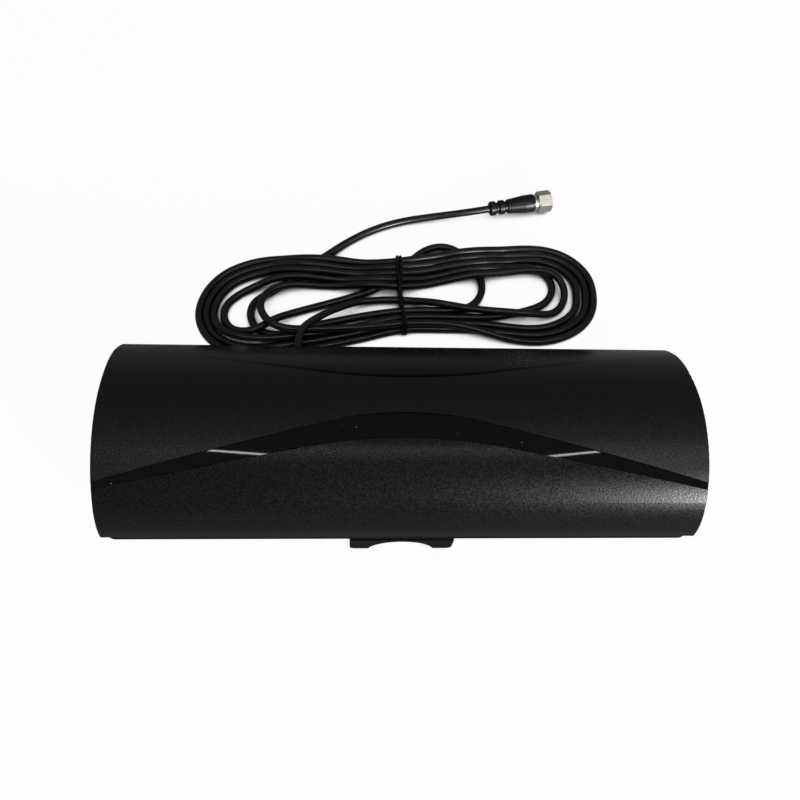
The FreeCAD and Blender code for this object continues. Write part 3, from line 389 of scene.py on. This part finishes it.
# %% [markdown]
# Hands leave broad soft patches that are a little smoother or duller than the rest. Two sizes of noise
# are enough, a broad one for the patches and a finer one that breaks them up.

# %% Group: handling marks
def handling_marks():
    """Smudge: broad noise times noise seven times as fine, spread over the range from 0 to 1."""
    tree, given, result = start_group("handling_marks", {"Patch": 22.0}, ("Smudge",))
    place = object_place(tree)
    patch = given.outputs["Patch"]
    broad = put(tree, "ShaderNodeTexNoise", Detail=3.0, Roughness=0.55)
    fine = put(tree, "ShaderNodeTexNoise", Detail=4.0, Roughness=0.7)
    for texture, scale in ((broad, patch), (fine, maths(tree, "MULTIPLY", patch, 7.0))):
        tree.links.new(place, texture.inputs["Vector"])
        tree.links.new(scale, texture.inputs["Scale"])
    spread = put(tree, "ShaderNodeMapRange", **{"From Min": 0.12, "From Max": 0.42})
    tree.links.new(maths(tree, "MULTIPLY", broad.outputs[0], fine.outputs[0]), spread.inputs["Value"])
    tree.links.new(spread.outputs["Result"], result.inputs["Smudge"])
    return tree


MARKS = handling_marks()
print("group:", MARKS.name)

# %% [markdown]
# Dust shows on black gloss as pale specks. The centres of small Voronoi cells make the specks, and a
# random value for each cell keeps only a few of them.

# %% Group: dust specks
def dust_specks():
    """Speck: 1 near the centre of a cell whose random value is below the share, and 0 elsewhere."""
    tree, given, result = start_group("dust_specks", {"Cells": 260.0, "Share": 0.06}, ("Speck",))
    cells = put(tree, "ShaderNodeTexVoronoi")
    split = put(tree, "ShaderNodeSeparateColor")
    tree.links.new(object_place(tree), cells.inputs["Vector"])
    tree.links.new(given.outputs["Cells"], cells.inputs["Scale"])
    tree.links.new(cells.outputs["Color"], split.inputs[0])
    near = maths(tree, "LESS_THAN", cells.outputs["Distance"], 0.09)
    few = maths(tree, "LESS_THAN", split.outputs[0], given.outputs["Share"])
    tree.links.new(maths(tree, "MULTIPLY", near, few), result.inputs["Speck"])
    return tree


DUST = dust_specks()
print("group:", DUST.name)

# %% [markdown]
# No light comes back out of the narrow seam behind the panel's upper edge, so it shows as a fine dark
# line of shade, and that shade is painted. In plan the edge is an arc with a straight run at either end.
# The group works out how far a point lies behind the edge and marks a narrow band. There the shell turns
# into a dark metal with no gloss of its own, which paints the line of shade.

# %% Group: painted shade in the panel seam
def painted_joint_shade():
    """Edge in plan: lowest height plus bend minus the root of bend squared less x squared, up to the
    point of touch, and from there the slope times what is left of x, as far as the housing's ends."""
    measures = {"Low": 20.2 * MM, "Bend": 250.0 * MM, "Touch": 45.3 * MM, "Slope": 0.184,
                "Width": 1.6 * MM, "End": 141.6 * MM}
    tree, given, result = start_group("painted_joint_shade", measures, ("PaintedShade",))
    low, bend, touch, slope, width, end = (given.outputs[label] for label in measures)
    place = put(tree, "ShaderNodeSeparateXYZ")
    tree.links.new(object_place(tree), place.inputs[0])
    across = maths(tree, "ABSOLUTE", place.outputs["X"])
    bent = maths(tree, "MINIMUM", across, touch)
    bend_square = maths(tree, "MULTIPLY", bend, bend)
    square = maths(tree, "SUBTRACT", bend_square, maths(tree, "MULTIPLY", bent, bent))
    arc = maths(tree, "SUBTRACT", maths(tree, "ADD", low, bend), maths(tree, "SQRT", square))
    edge = maths(tree, "MULTIPLY_ADD", maths(tree, "SUBTRACT", across, bent), slope, arc)
    behind = maths(tree, "DIVIDE", maths(tree, "SUBTRACT", place.outputs["Y"], edge), width)
    # Painted shade: the narrow band just behind the edge, which the shell shows as a dark line.
    band = maths(tree, "COMPARE", behind, 0.5, 0.5)
    gap = maths(tree, "MULTIPLY", band, maths(tree, "LESS_THAN", across, end))
    tree.links.new(gap, result.inputs["PaintedShade"])
    return tree


JOINT_SHADE = painted_joint_shade()
print("group:", JOINT_SHADE.name)

# %% [markdown]
# Rolled sheet and drawn wire have fine streaks along one direction. Noise on coordinates that are
# squeezed along the streaks does this. The same group serves plated screws with a rounder squeeze.

# %% Group: drawn metal
def drawn_metal():
    """Streak: noise on the place times one scale along X and another across it."""
    tree, given, result = start_group("drawn_metal", {"Along": 40.0, "Across": 1800.0}, ("Streak",))
    place = object_place(tree)
    sizes = put(tree, "ShaderNodeCombineXYZ")
    stretch = put(tree, "ShaderNodeVectorMath", operation="MULTIPLY")
    noise = put(tree, "ShaderNodeTexNoise", Scale=1.0, Detail=3.0, Roughness=0.6)
    for source, target in (("Along", 0), ("Across", 1), ("Across", 2)):
        tree.links.new(given.outputs[source], sizes.inputs[target])
    tree.links.new(place, stretch.inputs[0])
    tree.links.new(sizes.outputs[0], stretch.inputs[1])
    tree.links.new(stretch.outputs[0], noise.inputs["Vector"])
    tree.links.new(noise.outputs[0], result.inputs["Streak"])
    return tree


STREAKS = drawn_metal()
print("group:", STREAKS.name)

# %% [markdown]
# ## Making a finish
# A finish mixes two near colours by a varying value, lets the roughness wander between two values and
# raises a fine bump. One function does this for all finishes, from the outputs of the groups. Whatever
# is the same all over, such as metallic or coat, is set on the shader's own socket.

# %% Finish maker
def place_group(tree, group, **values):
    """A node of the group with its own values."""
    node = put(tree, "ShaderNodeGroup")
    node.node_tree = group
    for label, value in values.items():
        node.inputs[label].default_value = value
    return node


def finish(name, colours, roughness, vary, rough_by, height, depth, shade_line=None, **shader_values):
    """A material whose base colour, roughness and bump follow the given group outputs: each of vary,
    rough_by and height is (group, output, its values). Depth is the bump's distance in mm, and shade_line
    marks the places where a line of shade is painted, as a dark metal with no gloss of its own."""
    material = bpy.data.materials.new(name)
    material.use_nodes = True
    tree = material.node_tree
    shader = tree.nodes["Principled BSDF"]
    for label, value in shader_values.items():
        shader.inputs[label.replace("_", " ")].default_value = value
    placed = {}

    def output(source):
        group, label, values = source
        key = (group.name, tuple(values.items()))
        if key not in placed:
            placed[key] = place_group(tree, group, **values)
        return placed[key].outputs[label]

    tree.links.new(mix_colours(tree, output(vary), *colours), shader.inputs["Base Color"])
    spread = put(tree, "ShaderNodeMapRange", **{"To Min": roughness[0], "To Max": roughness[1]})
    tree.links.new(output(rough_by), spread.inputs["Value"])
    tree.links.new(spread.outputs["Result"], shader.inputs["Roughness"])
    bump = put(tree, "ShaderNodeBump", Strength=1.0, Distance=depth * MM)
    tree.links.new(output(height), bump.inputs["Height"])
    tree.links.new(bump.outputs["Normal"], shader.inputs["Normal"])
    # Painted shade: along the band the surface turns into a dark metal with no gloss, a line of shade.
    if shade_line:
        tree.links.new(output(shade_line), shader.inputs["Metallic"])
    return material


# %% [markdown]
# Four short functions name the outputs that most finishes follow, each with its own size. A fifth gives
# a finish to the solids.

# %% What a finish follows
def fleck(grain):
    """The facets' random value."""
    return GRAIN, "Fleck", {"Grain": grain}


def hills(grain):
    """The soft hills of the grain."""
    return GRAIN, "Height", {"Grain": grain}


def smudge(patch):
    """The marks of handling."""
    return MARKS, "Smudge", {"Patch": patch}


def streak(along, across):
    """The streaks of metal."""
    return STREAKS, "Streak", {"Along": along, "Across": across}


def dress(material, *names):
    """Gives the material to each named solid, in all of its material slots."""
    for name in names:
        slots = solids[name].data.materials
        slots.clear()
        slots.append(material)
    print(material.name, "on", ", ".join(names))


# %% [markdown]
# ## Black plastics
# The shell, the panel and the cover are the same black plastic with a fine sparkling grain. The strip
# is polished, so it has almost no grain, but dust shows on it.

# %% Black plastics
# The shell carries the painted line of shade along the panel's upper edge.
shell_finish = finish("shell_grain", ((0.003, 0.003, 0.0033), (0.009, 0.009, 0.0096)), (0.21, 0.37),
                      fleck(1800.0), fleck(1800.0), hills(1300.0), depth=0.06,
                      shade_line=(JOINT_SHADE, "PaintedShade", {}), IOR=1.5, Specular_IOR_Level=0.25)
panel_finish = finish("panel_grain", ((0.002, 0.002, 0.0023), (0.006, 0.006, 0.0065)), (0.32, 0.50),
                      fleck(1800.0), fleck(1800.0), hills(1300.0), depth=0.08,
                      IOR=1.5, Specular_IOR_Level=0.55)
cover_finish = finish("cover_satin", ((0.003, 0.003, 0.0033), (0.008, 0.008, 0.0085)), (0.50, 0.66),
                      fleck(1800.0), smudge(26.0), hills(1100.0), depth=0.07,
                      IOR=1.5, Specular_IOR_Level=0.06)
strip_finish = finish("strip_polish", ((0.002, 0.002, 0.0023), (0.20, 0.195, 0.19)), (0.03, 0.06),
                      (DUST, "Speck", {"Cells": 300.0, "Share": 0.10}), smudge(30.0),
                      smudge(30.0), depth=0.001, IOR=1.5, Specular_IOR_Level=0.4)
dress(shell_finish, "front_shell")
dress(panel_finish, "face_panel")
dress(cover_finish, "rear_cover", "mast_saddle")
dress(strip_finish, "accent_strip")

# %% [markdown]
# ## Cable, grommet, tie and boot
# A cable jacket is extruded, so it is smoother than the mouldings and has a soft shine along its length.
# The grommet is a duller rubber, and the plug's boot is moulded round the cable with a satin skin.

# %% Soft and moulded pieces of the cable
jacket_finish = finish("jacket_satin", ((0.004, 0.004, 0.0043), (0.010, 0.010, 0.0105)), (0.27, 0.33),
                       smudge(40.0), smudge(25.0), hills(500.0), depth=0.002,
                       IOR=1.5, Specular_IOR_Level=0.85)
rubber_finish = finish("grommet_rubber", ((0.004, 0.004, 0.004), (0.008, 0.008, 0.008)), (0.55, 0.72),
                       smudge(120.0), smudge(80.0), hills(1300.0), depth=0.06,
                       IOR=1.5, Specular_IOR_Level=0.4)
tie_finish = finish("tie_plastic", ((0.003, 0.003, 0.003), (0.008, 0.008, 0.008)), (0.38, 0.52),
                    smudge(150.0), smudge(110.0), hills(2400.0), depth=0.03,
                    IOR=1.5, Specular_IOR_Level=0.4)
boot_finish = finish("boot_satin", ((0.005, 0.005, 0.0053), (0.012, 0.012, 0.0125)), (0.30, 0.44),
                     fleck(1400.0), smudge(70.0), hills(1400.0), depth=0.04,
                     IOR=1.5, Specular_IOR_Level=0.5)
curve.materials.append(jacket_finish)
tie.data.materials.append(tie_finish)
dress(jacket_finish, "coax_tail", "coax_lead", "coax_hank", "plug_lead")
dress(rubber_finish, "cable_gland")
dress(tie_finish, "hank_tie")
dress(boot_finish, "plug_boot")

# %% [markdown]
# ## Metals and the inside
# The plug's nut and barrel are nickel plated and slightly warm in colour. The screws are zinc plated.
# Inside are sheet metal elements, a laminate board, a ferrite core, bare copper and a white insulator.

# %% Metals and inner pieces
nickel_finish = finish("nickel_plate", ((0.82, 0.79, 0.70), (0.93, 0.90, 0.81)), (0.28, 0.42),
                       smudge(160.0), smudge(220.0), streak(1200.0, 1500.0), depth=0.01, Metallic=1.0)
zinc_finish = finish("zinc_plate", ((0.52, 0.53, 0.54), (0.64, 0.64, 0.62)), (0.28, 0.45),
                     smudge(180.0), smudge(240.0), streak(900.0, 1400.0), depth=0.01, Metallic=1.0)
sheet_finish = finish("rolled_sheet", ((0.72, 0.73, 0.75), (0.80, 0.80, 0.81)), (0.28, 0.42),
                      streak(30.0, 1500.0), smudge(40.0), streak(30.0, 1500.0), depth=0.01, Metallic=1.0)
copper_finish = finish("bare_copper", ((0.70, 0.36, 0.20), (0.80, 0.46, 0.27)), (0.22, 0.38),
                       smudge(260.0), smudge(200.0), streak(60.0, 2000.0), depth=0.008, Metallic=1.0)
board_finish = finish("board_laminate", ((0.32, 0.26, 0.11), (0.40, 0.34, 0.16)), (0.42, 0.58),
                      streak(500.0, 1400.0), smudge(60.0), streak(500.0, 1400.0), depth=0.02, IOR=1.5)
ferrite_finish = finish("sintered_core", ((0.045, 0.045, 0.05), (0.085, 0.085, 0.09)), (0.50, 0.70),
                        fleck(1900.0), smudge(150.0), hills(1900.0), depth=0.06, IOR=1.6)
insulator_finish = finish("insulator_white", ((0.78, 0.78, 0.75), (0.84, 0.84, 0.81)), (0.36, 0.50),
                          smudge(200.0), smudge(150.0), hills(1500.0), depth=0.02, IOR=1.5)
dress(nickel_finish, "plug_barrel", "plug_nut")
dress(zinc_finish, "case_screws", "saddle_screws", "element_screws", "cable_clamp")
dress(sheet_finish, "left_element", "right_element")
dress(copper_finish, "balun_winding", "plug_pin")
dress(board_finish, "balun_board")
dress(ferrite_finish, "balun_core")
dress(insulator_finish, "plug_dielectric")

# %% [markdown]
# ## Floor and light
# The table is plain and pale. For the camera its colour is mostly its own white, so that the picture's
# ground is white at a plain level of light, and the rest is lit, so the antenna keeps a soft shadow.
# In the narrow gaps between strands little light reaches the table, and there the Ambient Occlusion node
# takes the white away. Rays that come off a glossy piece or through a clear one see some of that white
# too. The Light Path node tells the rays apart, and each kind has its own share of the white. The table
# itself is a grid of three by three points with four faces.

# %% Floor
def white_share(tree, seen_share, mirrored_share):
    """How much of the plain white a ray sees: the first share for a ray from the camera or through a
    clear piece, the second for a ray off a glossy piece, and none for light that falls on a surface."""
    ray = put(tree, "ShaderNodeLightPath").outputs
    seen = maths(tree, "MAXIMUM", ray["Is Camera Ray"], ray["Is Transmission Ray"])
    seen_white = maths(tree, "MULTIPLY", seen, seen_share)
    mirrored_white = maths(tree, "MULTIPLY", ray["Is Glossy Ray"], mirrored_share)
    return maths(tree, "MAXIMUM", seen_white, mirrored_white)


WHITE = (1, 1, 1)
UNLIT_GREY = (0.22, 0.22, 0.22)
NARROW_GAP = 12 * MM
FLOOR_REACH = 6.0
grid = np.linspace(-FLOOR_REACH, FLOOR_REACH, 3)
corner_x, corner_y = np.meshgrid(grid, grid)
points = np.column_stack([corner_x.ravel(), corner_y.ravel(), np.zeros(corner_x.size)])
cells = np.array([0, 1, 3, 4])[:, None] + np.array([0, 1, 4, 3])[None, :]
floor_mesh = bpy.data.meshes.new("table")
floor_mesh.from_pydata(points.tolist(), [], cells.tolist())
table = bpy.data.objects.new("table", floor_mesh)
bpy.context.scene.collection.objects.link(table)
paint = bpy.data.materials.new("table_white")
paint.use_nodes = True
tree = paint.node_tree
lit = tree.nodes["Principled BSDF"]
lit.inputs["Roughness"].default_value = 0.9
lit.inputs["Specular IOR Level"].default_value = 0.1
plain = put(tree, "ShaderNodeEmission", Color=(*WHITE, 1), Strength=1.0)
openness = put(tree, "ShaderNodeAmbientOcclusion", samples=8, Distance=NARROW_GAP)
narrow = put(tree, "ShaderNodeMapRange", interpolation_type="SMOOTHSTEP",
             **{"From Min": 0.28, "From Max": 0.58})
tree.links.new(openness.outputs["AO"], narrow.inputs["Value"])
white = white_share(tree, seen_share=0.97, mirrored_share=0.09)
share = maths(tree, "MULTIPLY", white, narrow.outputs["Result"])
tree.links.new(mix_colours(tree, share, UNLIT_GREY, WHITE), lit.inputs["Base Color"])
surface = mix_shaders(tree, share, lit.outputs[0], plain.outputs[0])
tree.links.new(surface, tree.nodes["Material Output"].inputs["Surface"])
floor_mesh.materials.append(paint)
print("table faces:", len(floor_mesh.polygons))

# %% [markdown]
# A long lamp hangs above and draws the thin glint along the polished strip. A soft box stands low at the
# right front and gives the lower edge its sheen. The rest is an even pale surrounding.

# %% Lamps
def soft_box(name, place, aim, width, depth, watts):
    """A rectangular lamp at a place, turned towards its aim. Lengths are in metres, the power in watts."""
    lamp = bpy.data.lights.new(name, "AREA")
    lamp.shape = "RECTANGLE"
    lamp.size = width
    lamp.size_y = depth
    lamp.energy = watts
    holder = bpy.data.objects.new(name, lamp)
    holder.location = place
    holder.rotation_euler = (Vector(aim) - Vector(place)).to_track_quat("-Z", "Y").to_euler()
    bpy.context.scene.collection.objects.link(holder)
    print(name, "at", [round(v, 2) for v in place], "with", watts, "W")


soft_box("long_lamp", place=(0.31, -0.325, 1.30), aim=(0.31, -0.02, 0.05),
         width=1.3, depth=0.036, watts=1.7)
soft_box("front_box", place=(1.08, -1.54, 0.71), aim=(0.10, -0.04, 0.04),
         width=0.26, depth=0.34, watts=44.0)
world = bpy.data.worlds.new("studio")
world.use_nodes = True
bpy.context.scene.world = world
tree = world.node_tree
sky = tree.nodes["Background"]
sky.inputs["Color"].default_value = (*WHITE, 1)
sky.inputs["Strength"].default_value = 0.11
backdrop = put(tree, "ShaderNodeBackground", Color=(*WHITE, 1), Strength=1.0)
white = white_share(tree, seen_share=1.0, mirrored_share=0.02)
surface = mix_shaders(tree, white, sky.outputs[0], backdrop.outputs[0])
tree.links.new(surface, tree.nodes["World Output"].inputs["Surface"])
bpy.context.scene.view_settings.view_transform = "Standard"

# %% [markdown]
# ## Final update
# Blender works out the place of every piece once more, so the scene is up to date. The dressed antenna
# has to stay in the box of its solids.

# %% Update
bpy.context.view_layer.update()
